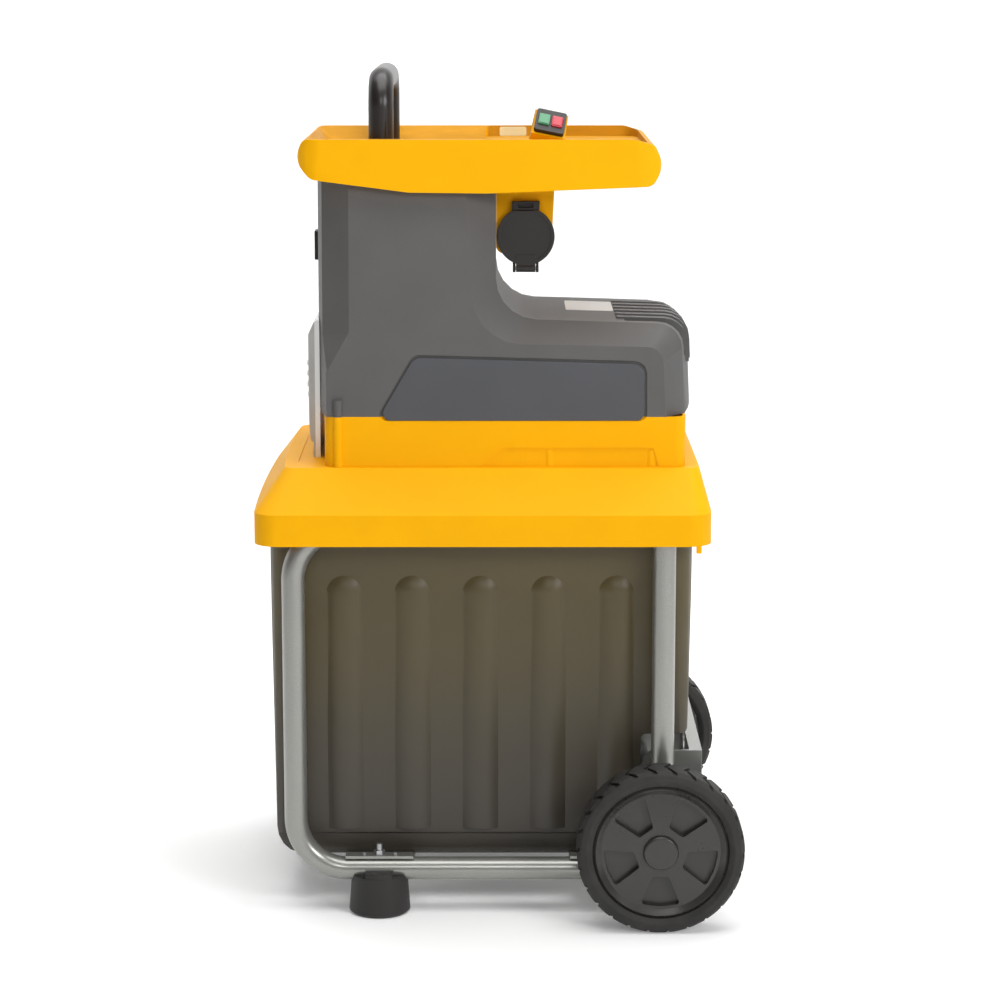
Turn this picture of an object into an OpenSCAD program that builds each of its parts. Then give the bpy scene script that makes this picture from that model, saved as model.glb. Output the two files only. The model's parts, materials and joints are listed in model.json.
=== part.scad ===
// Electric garden shredder of the quiet roller kind on a two-wheeled tube frame.
// +Z is up, the front (where the box pulls out) faces -X and the left side faces -Y.
// The origin is on the floor below the middle of the machine. Sizes are millimetres.

/* [Wheels] */
// Outside diameter of the tyres
wheel_d = 180; // [164:1:196]
// Width of the tyres
wheel_w = 46; // [38:1:52]
// Distance between the outer faces of the two wheels
track_w = 530; // [520:1:556]
// Diameter of the wheel disc, where the tyre sits
disc_d = 146; // [132:1:150]
// Diameter of the hub cap
hub_cap_d = 40; // [34:1:44]
// Number of tread blocks round each tyre
tread_count = 26; // [16:1:32]
// Diameter of the axle
axle_d = 12; // [10:1:14]
// Place of the axle behind the middle of the machine
axle_x = 174.5; // [168:0.5:180]

/* [Frame] */
// Outside diameter of the frame tube
tube_d = 25; // [22:0.5:28]
// Wall of the frame tube
tube_wall = 1.5; // [1:0.1:2.5]
// Distance between the middles of the left and right tube
frame_w = 362; // [352:1:372]
// Radius of the tube bends, at the middle of the tube
bend_r = 57; // [45:1:65]
// Height of the lower rail's middle above the floor
rail_z = 48; // [44:0.5:54]
// Distance from the front legs to the rear legs
leg_spread = 400; // [385:1:410]
// Place of the feet in front of the middle of the machine
foot_x = 129.5; // [115:0.5:140]
// Diameter of the feet at the floor
foot_d = 67; // [58:1:72]

/* [Base] */
// Height of the skirt's lower edge above the floor
skirt_z = 412; // [400:1:425]
// Height of the upright skirt
skirt_h = 34; // [28:1:40]
// Height of the slope from the skirt to the deck
flare_h = 42; // [34:1:50]
// Reach of the skirt in front of the middle of the machine
base_front = 264.5; // [258:0.5:270]
// Reach of the skirt behind the middle of the machine
base_rear = 229.5; // [224:0.5:236]
// Height of the plinth above the deck
plinth_h = 55; // [48:1:62]
// Wall of the base, the housing and the hopper
wall = 3; // [2.5:0.1:3.5]

/* [Housing] */
// Width of the housing at its foot
body_w = 290; // [280:1:300]
// Height of the motor cover above the plinth
cover_h = 102; // [98:1:112]
// Height of the neck above the plinth
neck_h = 257; // [245:1:270]
// Depth of the sloping edge between the sides and the top
edge_slope = 27; // [20:1:30]
// Bow of the front and rear faces
face_bow = 9.5; // [5:0.5:12]

/* [Hopper] */
// Height of the tray's rim above its lowest edge
tray_h = 57; // [50:1:64]
// Width of the tray from left to right
tray_w = 280; // [270:1:290]
// Length of the feed throat, front to rear
throat_l = 104; // [90:1:110]
// Width of the feed throat
throat_w = 120; // [100:1:126]
// Diameter of the carrying handle
handle_d = 27; // [22:1:30]
// Height of the handle above the tray's rim
handle_h = 74; // [66:1:90]

/* [Collection box] */
// Wall of the box
box_wall = 3; // [2.5:0.1:4]
// How far the stiffening ribs stand out
rib_out = 6; // [4:0.5:7]
// Distance from rib to rib
rib_step = 74; // [68:1:78]
// Width of a rib
rib_w = 38; // [30:1:44]
// Travel of the box lock
lock_travel = 14; // [10:1:16]

/* [Cutter and drive] */
// Diameter of the cutting roller over its teeth
roller_d = 80; // [74:1:82]
// Length of the cutting roller
roller_l = 106; // [98:1:110]
// Number of teeth round the roller
roller_teeth = 8; // [6:1:10]
// Diameter of the roller shaft
roller_shaft_d = 20; // [16:1:22]
// Gap between the roller and the pressure plate at rest
plate_gap = 2; // [1.8:0.1:4]
// Diameter of the motor's case
motor_d = 94; // [88:1:98]
// Length of the motor's case
motor_l = 134; // [120:1:140]
// Diameter of the motor shaft
motor_shaft_d = 10; // [8:0.5:11]
// Module of the fast pair of gears
fast_module = 1.25; // [1.2:0.01:1.3]
// Module of the slow pair of gears
slow_module = 1.75; // [1.65:0.01:1.8]
// Teeth of both pinions
pinion_teeth = 10; // [10:1:11]
// Teeth of the fast gear
fast_teeth = 62; // [58:1:64]
// Teeth of the slow gear
slow_teeth = 60; // [56:1:62]

/* [Clearances] */
// Radial clearance of a turning shaft
run_gap = 0.05; // [0.02:0.01:0.1]
// Clearance between parts that slide or are set side by side
slide_gap = 0.3; // [0.2:0.05:0.5]

/* [Hidden] */
$fn = 64;
wheel_r = wheel_d / 2;
disc_r = disc_d / 2;
wheel_mid = track_w / 2 - wheel_w / 2;
wheel_in = track_w / 2 - wheel_w;
axle_r = axle_d / 2;
cap_h = 7;
tread_depth = 3;

tube_r = tube_d / 2;
leg_y = frame_w / 2;
rear_leg_x = axle_x + 5;
front_leg_x = rear_leg_x - leg_spread;
top_rail_z = skirt_z + 16;
leg_top_z = top_rail_z + tube_r;
top_rail_end = rear_leg_x - 60;
bolt_r = 3;
bolt_hole_r = bolt_r + 0.2;
plate_t = 3;
plate_z = rail_z + tube_r + slide_gap;
plate_top = plate_z + plate_t;
channel_z = rail_z + 0.8;
channel_top = channel_z + plate_t;
plate_w = 74;
rear_plate_x = axle_x - 72;
rear_plate_w = 46;
bracket_t = 3;
bracket_y = leg_y - tube_r - slide_gap;
bracket_rear = rear_leg_x + 44;
bracket_front = axle_x - 16;
bracket_top = 178;
bracket_low = wheel_r - 24;
bracket_bolt_z = [wheel_r + 40, wheel_r + 68];

skirt_top = skirt_z + skirt_h;
deck_z = skirt_top + flare_h;
split_z = deck_z + plinth_h;
skirt_hw = leg_y + 24;
deck_ledge = 5;
body_hw = body_w / 2;
deck_hw = body_hw + deck_ledge;
deck_front = base_front - 30;
deck_rear = base_rear - 11;
front_bow = 4;
skirt_corner = 26;
deck_corner = 14;
plinth_front = 187.5;
plinth_rear = 203.5;
plinth_corner = 12;
saddle_xs = [front_leg_x + bend_r + 30, -10, rear_leg_x - 90];
saddle_t = 4;
recess_in = 1.5;

neck_front = 190;
neck_rear = -2;
neck_top = split_z + neck_h;
cover_top = split_z + cover_h;
cover_rear = 203;
cover_fall = 5;
side_lean = 20 / 257;
crown_y = body_hw - edge_slope;
panel_t = 2.6;
panel_groove = 3;
lean_angle = atan(side_lean);

tray_low = neck_top - 17;
rim_z = tray_low + tray_h;
tray_front = 218;
tray_rear = 178.5;
tray_hw = tray_w / 2;
tray_corner = 30;
tray_wall = 5;
well_front = tray_front - 13;
well_rear = 5;
well_hw = tray_hw - 12;
tray_floor_z = rim_z - 12;
funnel_low = tray_low + 3;
collar_wall = 4;

cutter_wall = 12;
roller_x = -111;
roller_y = -22;
roller_z = deck_z + 97;
roller_r = roller_d / 2;
roller_shaft_r = roller_shaft_d / 2;
throat_x = roller_x;
chamber_l = roller_l + 4;
cutter_front = roller_x - chamber_l / 2 - cutter_wall;
cutter_rear = roller_x + chamber_l / 2 + cutter_wall;
cutter_left = roller_y - roller_r - 4 - 6;
cutter_right = 80;
cutter_top = roller_z + roller_r + 17;
chute_wall = 2.5;

slow_a = slow_module * (slow_teeth + pinion_teeth) / 2;
fast_a = fast_module * (fast_teeth + pinion_teeth) / 2;
lay_angle = -10;
motor_angle = 190;
lay_y = roller_y + slow_a * cos(lay_angle);
lay_z = roller_z + slow_a * sin(lay_angle);
motor_y = lay_y + fast_a * cos(motor_angle);
motor_z = lay_z + fast_a * sin(motor_angle);
slow_x = cutter_rear + 6;
slow_w = 18;
fast_x = slow_x + slow_w + 6;
fast_w = 12;
case_wall = 5;
case_end = fast_x + fast_w + 6;
cover_t = 6;
motor_x = case_end + cover_t;
motor_r = motor_d / 2;
motor_end = motor_x + motor_l;
motor_shaft_r = motor_shaft_d / 2;
lay_shaft_r = 6;

plate_x0 = roller_x - roller_l / 2 + 2;
plate_len = roller_l - 4;
adjust_x = -125;
adjust_z = roller_z + 10;
spindle_r = 6;
knob_r = 19;
knob_l = 26;

box_hw = leg_y - tube_r - 4.5 - rib_out;
box_front = base_front - 16;
box_rear = base_rear - 17;
box_low = channel_top + slide_gap;
box_top = skirt_z - 1.5;
box_draft = 5;
notch_x = bracket_front - 1.5;
notch_z = bracket_top + 15;
rib_r = (rib_w * rib_w / 4 + rib_out * rib_out) / (2 * rib_out);
rib_top = skirt_z - 60;
lock_t = 7;
lock_hw = 80;
tongue_hw = 30;
shelf_t = 4;
lock_low = box_top + 5;

inlet_x = 30.5;
inlet_z = neck_top - 68;
inlet_face = -75;
flap_r = 31.5;
flap_t = 4;
flap_y = inlet_face - 4.4;
flap_axis_y = flap_y - flap_t / 2;
flap_axis_z = inlet_z - 35;
flap_pin_r = 2;

switch_c = [57, -56, rim_z + 12];
switch_roll = 11.6;
switch_tilt = 44;
switch_w = 33;
switch_l = 31;
button_w = 12;
button_l = 15;
button_travel = 2.5;

rocker_z = neck_top - 84.5;
rocker_face = -neck_front - face_bow - 0.25;
rocker_hw = 9;
rocker_h = 22;
rocker_pin_r = 1.4;

boss_in = 1.5;
screw_r = 1.8;
vent_x = 130;
vent_z = split_z + 52;
vent_step = 30;
vent_rib = 14;
vent_ys = [15, 45, 75];
neck_pocket_hw = tray_hw - 12.5;
chute_top = tray_low - 3.5;
handle_x = -125.5;
handle_y = 98;
handle_bend = 28;
socket_z = rim_z - 28;
bezel_t = 5;
socket_r = 18;
flange_t = 4;
ear_x = 12.6;
ear_t = 3;
knuckle_hw = 10.6;
lock_top = split_z + 97;
rib_mid_x = -19;
rib_low = box_low + 34;
plate_low = roller_z - 29;
plate_back = roller_y + roller_r + plate_gap + 17;
knob_y = body_hw - 2;
rows = 6;
roller_bearing_r = 21;
lay_bearing_r = 12;
motor_bearing_r = 13;
rotor_r = 27;

// Colours
yellow = [0.98, 0.72, 0.05];
shell_grey = [0.38, 0.37, 0.36];
slate = [0.36, 0.37, 0.39];
silver = [0.66, 0.66, 0.64];
black = [0.2, 0.19, 0.18];
smoke = [0.42, 0.38, 0.3, 0.6];
steel = [0.6, 0.6, 0.62];
cast = [0.72, 0.72, 0.7];
copper = [0.72, 0.42, 0.22];

// Outline helpers
corner_steps = 5;
function unit(v) = v / norm(v);
function bend_steps(p, c, q, r) =
    let (
        u = unit([p[0] - c[0], p[1] - c[1]]),
        v = unit([q[0] - c[0], q[1] - c[1]]),
        half = acos(max(-1, min(1, u * v))) / 2,
        m = [c[0], c[1]] + unit(u + v) * r / sin(half),
        s = [c[0], c[1]] + u * r / tan(half),
        e = [c[0], c[1]] + v * r / tan(half),
        a = atan2(s[1] - m[1], s[0] - m[0]),
        b = atan2(e[1] - m[1], e[0] - m[0]),
        turn = b - a > 180 ? b - a - 360 : (b - a < -180 ? b - a + 360 : b - a)
    )
    [for (k = [0:corner_steps])
        m + r * [cos(a + turn * k / corner_steps), sin(a + turn * k / corner_steps)]];
// Corners are [x, y, radius], in turn round the outline
function rounded(corners) =
    let (n = len(corners))
    [for (i = [0:n - 1])
        each bend_steps(corners[(i + n - 1) % n], corners[i], corners[(i + 1) % n], corners[i][2])];
function arc(c, r, a0, a1) =
    [for (k = [0:corner_steps]) let (a = a0 + (a1 - a0) * k / corner_steps) c + r * [cos(a), sin(a)]];
function bowed(front, rear, half, bow, r) =
    let (y1 = half - r, x1 = -front + bow * pow(y1 / half, 2), n = 8)
    concat(
        [for (i = [1:n - 1]) let (y = y1 - 2 * y1 * i / n) [-front + bow * pow(y / half, 2), y]],
        arc([x1 + r, -y1], r, 180, 270),
        arc([rear - r, -y1], r, 270, 360),
        arc([rear - r, y1], r, 0, 90),
        arc([x1 + r, y1], r, 90, 180)
    );

// A closed skin through rings of equal length
module loft(rings) {
    n = len(rings[0]);
    last = len(rings) - 1;
    polyhedron(
        points = [for (ring = rings) each ring],
        faces = concat(
            [[for (i = [0:n - 1]) i]],
            [for (k = [0:last - 1]) for (i = [0:n - 1]) let (j = (i + 1) % n)
                each [[k * n + i, (k + 1) * n + i, (k + 1) * n + j],
                    [k * n + i, (k + 1) * n + j, k * n + j]]],
            [[for (i = [0:n - 1]) last * n + n - 1 - i]]
        )
    );
}
module along_x(x0, x1) translate([x0, 0, 0]) rotate([90, 0, 90]) linear_extrude(x1 - x0) children();
module along_y(y0, y1) translate([0, y1, 0]) rotate([90, 0, 0]) linear_extrude(y1 - y0) children();
module rod_x(x0, x1, y, z, r) translate([x0, y, z]) rotate([0, 90, 0]) cylinder(r = r, h = x1 - x0);
module rod_y(y0, y1, x, z, r) translate([x, y1, z]) rotate([90, 0, 0]) cylinder(r = r, h = y1 - y0);
module block(low, high) translate(low) cube(high - low);
// Draws a left-hand shape on the chosen side, -1 for left and 1 for right
module on_side(side) mirror([0, side > 0 ? 1 : 0, 0]) children();

// Frame
module bend(x, z, a, r) {
    translate([x, 0, z]) rotate([90, 0, 0]) rotate([0, 0, a])
        rotate_extrude(angle = 90) translate([bend_r, 0]) circle(r);
}
module tube_run(r, over) {
    low = rail_z + bend_r;
    translate([rear_leg_x, 0, low]) cylinder(r = r, h = leg_top_z - low + over);
    bend(rear_leg_x - bend_r, low, 270, r);
    rod_x(front_leg_x + bend_r, rear_leg_x - bend_r, 0, rail_z, r);
    bend(front_leg_x + bend_r, low, 180, r);
    translate([front_leg_x, 0, low]) cylinder(r = r, h = top_rail_z - bend_r - low);
    bend(front_leg_x + bend_r, top_rail_z - bend_r, 90, r);
    rod_x(front_leg_x + bend_r, top_rail_end + over, 0, top_rail_z, r);
}
module frame_tube() color(silver) translate([0, -leg_y, 0]) difference() {
    tube_run(tube_r, 0);
    tube_run(tube_r - tube_wall, 1);
    translate([-foot_x, 0, rail_z - tube_d]) cylinder(r = bolt_hole_r, h = 2 * tube_d);
    rod_y(-tube_d, tube_d, axle_x, wheel_r, axle_r + run_gap);
    for (z = bracket_bolt_z) rod_y(-tube_d, tube_d, rear_leg_x, z, bolt_hole_r);
}
module left_frame_tube() on_side(-1) frame_tube();
module right_frame_tube() on_side(1) frame_tube();

// A channel welded between the lower rails, and a clamp plate on top of each rail
module cross_plate(x, w, lip) {
    reach = leg_y - tube_r - slide_gap;
    block([x - w / 2, -reach, channel_z], [x + w / 2, reach, channel_top]);
    for (s = [-1, 1]) translate([x + s * (w - plate_t) / 2, 0, 0])
        block([-plate_t / 2, -reach + 10, channel_z - lip], [plate_t / 2, reach - 10, channel_top]);
    for (s = [-1, 1]) on_side(s) difference() {
        block([x - w / 2, -leg_y - 8, plate_z], [x + w / 2, -leg_y + 8, plate_top]);
        translate([x, -leg_y, plate_z - 1]) cylinder(r = bolt_hole_r, h = plate_t + 2);
    }
}
module front_cross_plate() color(silver) cross_plate(-foot_x, plate_w, 10);
module rear_cross_plate() color(silver) cross_plate(rear_plate_x, rear_plate_w, 10);

module axle_bracket() color(silver) difference() {
    union() {
        block([bracket_rear - bracket_t, -bracket_y, bracket_low], [bracket_rear, bracket_y, bracket_top]);
        block([bracket_rear - 14, -bracket_y, bracket_top - bracket_t],
            [bracket_rear, bracket_y, bracket_top]);
        for (s = [-1, 1]) on_side(s) along_y(-bracket_y, -bracket_y + bracket_t)
            polygon(rounded([[bracket_front, bracket_low, 14], [bracket_rear, bracket_low, 2],
                [bracket_rear, bracket_top, 1], [bracket_front, bracket_top, 14]]));
    }
    rod_y(-leg_y, leg_y, axle_x, wheel_r, axle_r + run_gap);
    for (z = bracket_bolt_z) rod_y(-leg_y, leg_y, rear_leg_x, z, bolt_hole_r);
    for (y = [-100, 0, 100]) translate([bracket_rear - bracket_t - 1, y, (bracket_low + bracket_top) / 2])
        rotate([0, 90, 0]) cylinder(r = 18, h = bracket_t + 2);
}
module bracket_bolts() color(steel) for (s = [-1, 1]) on_side(s) for (z = bracket_bolt_z) {
    rod_y(-leg_y - tube_r - 4, -bracket_y + bracket_t + 2, rear_leg_x, z, bolt_r);
    translate([rear_leg_x, -leg_y - tube_r, z]) rotate([90, 0, 0]) cylinder(r = 6, h = 4, $fn = 6);
    translate([rear_leg_x, -bracket_y + bracket_t + 5, z]) rotate([90, 0, 0])
        cylinder(r = 6, h = 5, $fn = 6);
}
module axle() color(steel) rod_y(-track_w / 2 + 8, track_w / 2 - 8, axle_x, wheel_r, axle_r);
module axle_spacers() color(black) for (s = [-1, 1]) on_side(s) difference() {
    rod_y(-wheel_in + slide_gap, -leg_y - tube_r - slide_gap, axle_x, wheel_r, axle_r + 4);
    rod_y(-wheel_in - 1, -leg_y, axle_x, wheel_r, axle_r + run_gap);
}
module axle_clips() color(steel) for (s = [-1, 1]) on_side(s) difference() {
    rod_y(-track_w / 2 + 9.2, -track_w / 2 + 11.7, axle_x, wheel_r, axle_r + 5);
    rod_y(-track_w / 2 + 9, -track_w / 2 + 12, axle_x, wheel_r, axle_r);
}

// Feet
module foot() color(black) translate([-foot_x, -leg_y, 0]) {
    foot_r = foot_d / 2;
    shoulder = rail_z - 4;
    saddle = channel_z - slide_gap;
    difference() {
        union() {
            rotate_extrude()
                polygon([[0, 0], [foot_r - 3, 0], [foot_r, 3], [foot_r - 3, shoulder], [0, shoulder]]);
            intersection() {
                rotate_extrude()
                    polygon([[0, 8], [foot_r - 1, 8], [foot_r - 3.5, saddle], [0, saddle]]);
                block([-15, -foot_r, 0], [15, foot_r, rail_z + 6]);
            }
        }
        rod_x(-foot_d, foot_d, 0, rail_z, tube_r + slide_gap);
        block([-foot_d, -tube_r - slide_gap, rail_z], [foot_d, tube_r + slide_gap, rail_z + 20]);
        translate([0, 0, 8]) cylinder(r = bolt_hole_r, h = rail_z);
        translate([0, 0, -1]) cylinder(r = 8, h = 10);
    }
}
module left_foot() on_side(-1) foot();
module right_foot() on_side(1) foot();
module foot_bolts() color(steel) {
    for (s = [-1, 1]) on_side(s) translate([-foot_x, -leg_y, 0]) {
        translate([0, 0, 5]) cylinder(r = 6.5, h = 4, $fn = 6);
        translate([0, 0, 7]) cylinder(r = bolt_r, h = plate_top + 12 - 7);
        translate([0, 0, plate_top]) cylinder(r = 6, h = 5, $fn = 6);
        for (x = [-17, 17]) translate([x, 0, plate_top]) cylinder(r = 2.6, h = 2);
    }
    for (s = [-1, 1]) on_side(s) translate([rear_plate_x, -leg_y, 0]) {
        translate([0, 0, plate_top]) cylinder(r = 6, h = 3);
        translate([0, 0, plate_z - 0.1]) cylinder(r = bolt_r, h = plate_t + 1);
    }
}

// Wheels, drawn with the outer face up and set on their side
module on_wheel(side) {
    translate([axle_x, side * wheel_mid, wheel_r]) rotate([side < 0 ? 90 : -90, 0, 0]) children();
}
module tyre() color(black) difference() {
    h = wheel_w / 2;
    rotate_extrude($fn = 96) polygon(rounded([[disc_r, -h + 4, 2], [disc_r + 6, -h, 3],
        [wheel_r - 4, -h + 2, 3], [wheel_r, -h + 7, 4], [wheel_r, h - 7, 4], [wheel_r - 4, h - 2, 3],
        [disc_r + 6, h, 3], [disc_r, h - 4, 2]]));
    for (k = [0:tread_count - 1]) rotate([0, 0, 360 * k / tread_count]) for (s = [-1, 1])
        translate([wheel_r, 0, s * wheel_w / 4]) rotate([s * 28, 0, 0])
            cube([2 * tread_depth, 4.5, wheel_w / 2 + 4], center = true);
}
module wheel_disc() color(shell_grey) difference() {
    h = wheel_w / 2;
    rim = disc_r - slide_gap;
    hub = hub_cap_d / 2 + 4;
    rotate_extrude($fn = 96) polygon([[axle_r + run_gap, -h], [hub - 6, -h], [hub, -h + 12],
        [disc_r - 14, -h + 14], [disc_r - 10, -h + 5], [rim, -h + 5], [rim, h - 6], [rim - 3, h - 3],
        [disc_r - 9, h - 8], [hub + 1, h - 5], [hub - 5, h - 5], [hub - 5, h - 12],
        [axle_r + run_gap, h - 12]]);
    for (a = [0:72:359]) rotate([0, 0, a - 90]) translate([0, 0, h - 15]) linear_extrude(20)
        polygon(rounded([[27, -9, 3], [58, -21, 3], [61, 0, 40], [58, 21, 3], [27, 9, 3]]));
}
module hub_cap() color(shell_grey) {
    h = wheel_w / 2;
    r = hub_cap_d / 2 - 1 - slide_gap;
    translate([0, 0, h - 12 + 8]) rotate_extrude() polygon(concat([[0, 0], [r, 0], [r, 1]],
        [for (k = [1:6]) let (a = k * 15) [r - 3 + 3 * cos(a), 1 + (cap_h - 4) * sin(a)]],
        [[0, cap_h - 2.4]]));
    translate([0, 0, h - 12]) difference() {
        cylinder(r = r, h = 8);
        translate([0, 0, -1]) cylinder(r = r - 3, h = 8);
    }
}
module left_tyre() on_wheel(-1) tyre();
module right_tyre() on_wheel(1) tyre();
module left_wheel_disc() on_wheel(-1) wheel_disc();
module right_wheel_disc() on_wheel(1) wheel_disc();
module left_hub_cap() on_wheel(-1) hub_cap();
module right_hub_cap() on_wheel(1) hub_cap();

// Base: skirt, sloping deck and an open plinth that the housing stands on
module base_skin(d) {
    skirt = bowed(base_front - d, base_rear - d, skirt_hw - d, front_bow, skirt_corner - d);
    deck = bowed(deck_front - d, deck_rear - d, deck_hw - d, front_bow, deck_corner - d);
    low = d > 0 ? skirt_z - 1 : skirt_z;
    loft([[for (p = skirt) [p[0], p[1], low]], [for (p = skirt) [p[0], p[1], skirt_top - d / 2]],
        [for (p = deck) [p[0], p[1], deck_z - d]]]);
}
module plinth_outline(d) polygon(rounded([[-plinth_front + d, -body_hw + d, plinth_corner],
    [plinth_rear - d, -body_hw + d, plinth_corner], [plinth_rear - d, body_hw - d, plinth_corner],
    [-plinth_front + d, body_hw - d, plinth_corner]]));
module screw_boss(s, z0, z1, r) translate([-plinth_front + 15, s * (body_hw - boss_in), z0])
    cylinder(r = r, h = z1 - z0);
module base_housing() color(yellow) difference() {
    union() {
        difference() {
            union() {
                base_skin(0);
                translate([0, 0, deck_z - 1]) linear_extrude(plinth_h + 1) plinth_outline(0);
            }
            base_skin(wall);
            translate([0, 0, deck_z]) linear_extrude(plinth_h + 1) plinth_outline(wall);
        }
        for (s = [-1, 1]) on_side(s) {
            screw_boss(-1, deck_z - 1, split_z, 5.5);
            block([-140, -body_hw + wall - 0.3, split_z - 14], [168, -body_hw + wall + 2.4, split_z]);
            block([base_rear - 17, -skirt_hw + 4, skirt_z - 8],
                [base_rear - 11.5, -skirt_hw + 9, skirt_z + 6]);
            difference() {
                intersection() {
                    base_skin(wall / 2);
                    for (x = saddle_xs)
                        block([x - saddle_t / 2, -skirt_hw, top_rail_z],
                            [x + saddle_t / 2, -leg_y + tube_d, deck_z]);
                }
                rod_x(front_leg_x, rear_leg_x, -leg_y, top_rail_z, tube_r + slide_gap);
            }
        }
    }
    block([roller_x - throat_l / 2, -throat_w / 2, deck_z - 10],
        [roller_x + throat_l / 2, throat_w / 2, deck_z + 10]);
    lock_band(0, lock_t + 2 * slide_gap, lock_hw + slide_gap, deck_z - 10, deck_z + 10);
    for (s = [-1, 1]) on_side(s) {
        screw_boss(-1, deck_z - 8, split_z + 1, screw_r + 0.2);
        on_panel(-2, panel_t + slide_gap) panel_outline(panel_groove);
        difference() {
            along_y(-body_hw - 1, -body_hw + recess_in)
                polygon([[-18, deck_z + 1], [174, deck_z + 1], [168, deck_z + 21], [6, deck_z + 21]]);
            for (x = [56, 166]) translate([x, -body_hw + 7, deck_z]) {
                cylinder(r = 6.8, h = 16);
                translate([0, 0, 16]) sphere(r = 6.8);
            }
        }
    }
    block([-deck_front + 16, -110, deck_z - 1.2], [-deck_front + 21, 110, deck_z + 1]);
}

// Housing: two half shells with bowed ends, leaning sides and a sloping edge
// Both outlines run foot front, foot rear, up the rear, neck top rear, neck top front, down the front
function bends(corners) = [for (i = [1:len(corners) - 2])
    each bend_steps(corners[i - 1], corners[i], corners[i + 1], corners[i][2])];
function side_outline(front, rear, top_front, top_rear, over, under) = concat(
    [[front, split_z], [rear, split_z]], bends(concat([[rear, split_z]], over, [[top_rear, neck_top]])),
    [[top_rear, neck_top], [top_front, neck_top]],
    bends(concat([[top_front, neck_top]], under, [[front, split_z]])));
function crown_outline(b, d) =
    let (front = -neck_front - face_bow * b + d, rear = cover_rear + (face_bow + 2) * b - d)
    side_outline(front, rear, front, neck_rear - d,
        [[rear - 4, cover_top - cover_fall - d, 28], [neck_rear - d, cover_top + 1 - d, 45]],
        [[front - 0.05, split_z + 91, 8000], [front, split_z + 47, 8000]]);
function flank_outline(d) =
    let (front = -neck_front + 5 + d, rear = cover_rear - 22 - d)
    side_outline(front, rear, front + 25, neck_rear - 34 - d,
        [[rear - 3, cover_top - cover_fall - 22 - d, 18], [neck_rear - 23 - d, cover_top - 23 - d, 55]],
        [[front + 25, split_z + 91, 8], [front, split_z + 47, 8]]);
function leaned(outline, y) =
    [for (p = outline) [p[0], -y * (1 - side_lean * (p[1] - split_z) / body_hw), p[1]]];
function shell_rings(d) = concat(
    [for (y = [0, crown_y / 3, 2 * crown_y / 3, crown_y])
        leaned(crown_outline(1 - pow(y / crown_y, 2), d), y - (y > 0 ? d / 2 : 0))],
    [leaned(flank_outline(d), body_hw - d)]);
// Half shell as one thick skin, open at the foot, at the top of the neck and in the middle plane
module shell_skin() {
    rings = concat(shell_rings(0), shell_rings(wall));
    n = len(rings[0]);
    last = len(rings) / 2 - 1;
    top = 2 + 2 * (corner_steps + 1);
    walk = concat([for (i = [1:top - 1]) i], [for (i = [top + 1:n - 1]) i]);
    function at(side, k, i) = (side * (last + 1) + k) * n + i % n;
    function rim(k, i, m, j) = [at(0, k, i), at(0, m, j), at(1, m, j), at(1, k, i)];
    polyhedron(
        points = [for (ring = rings) each ring],
        faces = concat(
            [for (k = [0:last - 1]) for (i = walk) each [
                [at(0, k, i), at(0, k + 1, i), at(0, k + 1, i + 1)],
                [at(0, k, i), at(0, k + 1, i + 1), at(0, k, i + 1)],
                [at(1, k, i), at(1, k + 1, i + 1), at(1, k + 1, i)],
                [at(1, k, i), at(1, k, i + 1), at(1, k + 1, i + 1)]]],
            [[for (i = [n - 1:-1:0]) at(0, last, i)], [for (i = [0:n - 1]) at(1, last, i)]],
            [for (i = walk) rim(0, i, 0, i + 1)],
            [for (k = [0:last - 1]) each [rim(k + 1, 1, k, 1), rim(k, 0, k + 1, 0), rim(k, top, k + 1, top),
                rim(k + 1, top + 1, k, top + 1)]],
            [rim(last, 0, last, 1), rim(last, top, last, top + 1)]
        )
    );
}
// Places a drawing of the side face on the leaning left side
module panel_outline(d) polygon(rounded([[-130 - d, -4 - d / 10, 8], [158 + d, -4 - d / 10, 8],
    [158 + d, 57 + d, 14], [-90 - d / 2, 64 + d, 12]]));
module on_panel(y0, y1) translate([0, -body_hw, split_z]) rotate([-lean_angle, 0, 0])
    along_y(y0, y1) children();
module upper_panel(d, low) intersection() {
    panel_outline(d);
    translate([-300, low]) square([600, 200]);
}
// A strip of the skin that runs over the top rear corner, y to the side of the middle
module corner_strip(y, w, out, in, inset) {
    b = 1 - pow(y / crown_y, 2);
    along_y(-y - w / 2, -y + w / 2) intersection() {
        difference() {
            polygon(crown_outline(b, -out));
            polygon(crown_outline(b, in));
        }
        translate([vent_x + inset, vent_z + inset]) square([200, 200]);
    }
}
module housing_shell() color(shell_grey) difference() {
    union() {
        difference() {
            shell_skin();
            on_panel(-1, panel_t + 1) upper_panel(panel_groove, 0);
            for (y = vent_ys) corner_strip(y + vent_step / 2, vent_step - vent_rib, 4, 5, 8);
        }
        for (y = vent_ys) corner_strip(y, vent_rib, 2, 1.5, 0);
        on_panel(panel_t, panel_t + 2.4) upper_panel(panel_groove + 3, 1);
        screw_boss(-1, split_z, split_z + 18, 5.5);
    }
    screw_boss(-1, split_z - 1, split_z + 14, screw_r + 0.2);
    rocker_window(2 + slide_gap, rocker_face - 5, rocker_face + 20);
}
module left_housing_shell() on_side(-1) housing_shell();
module right_housing_shell() on_side(1) difference() {
    housing_shell();
    rod_y(-body_hw - 10, -body_hw + 30, adjust_x, adjust_z, spindle_r + 2);
}

module side_panel() color(slate) on_panel(-0.6, panel_t) panel_outline(0);
module left_side_panel() on_side(-1) side_panel();
module right_side_panel() on_side(1) side_panel();
module housing_screws() color(steel) for (s = [-1, 1]) {
    screw_boss(s, deck_z - wall - 4, deck_z - wall, 3.2);
    screw_boss(s, deck_z - wall - 1, split_z + 12, screw_r);
}

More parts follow.
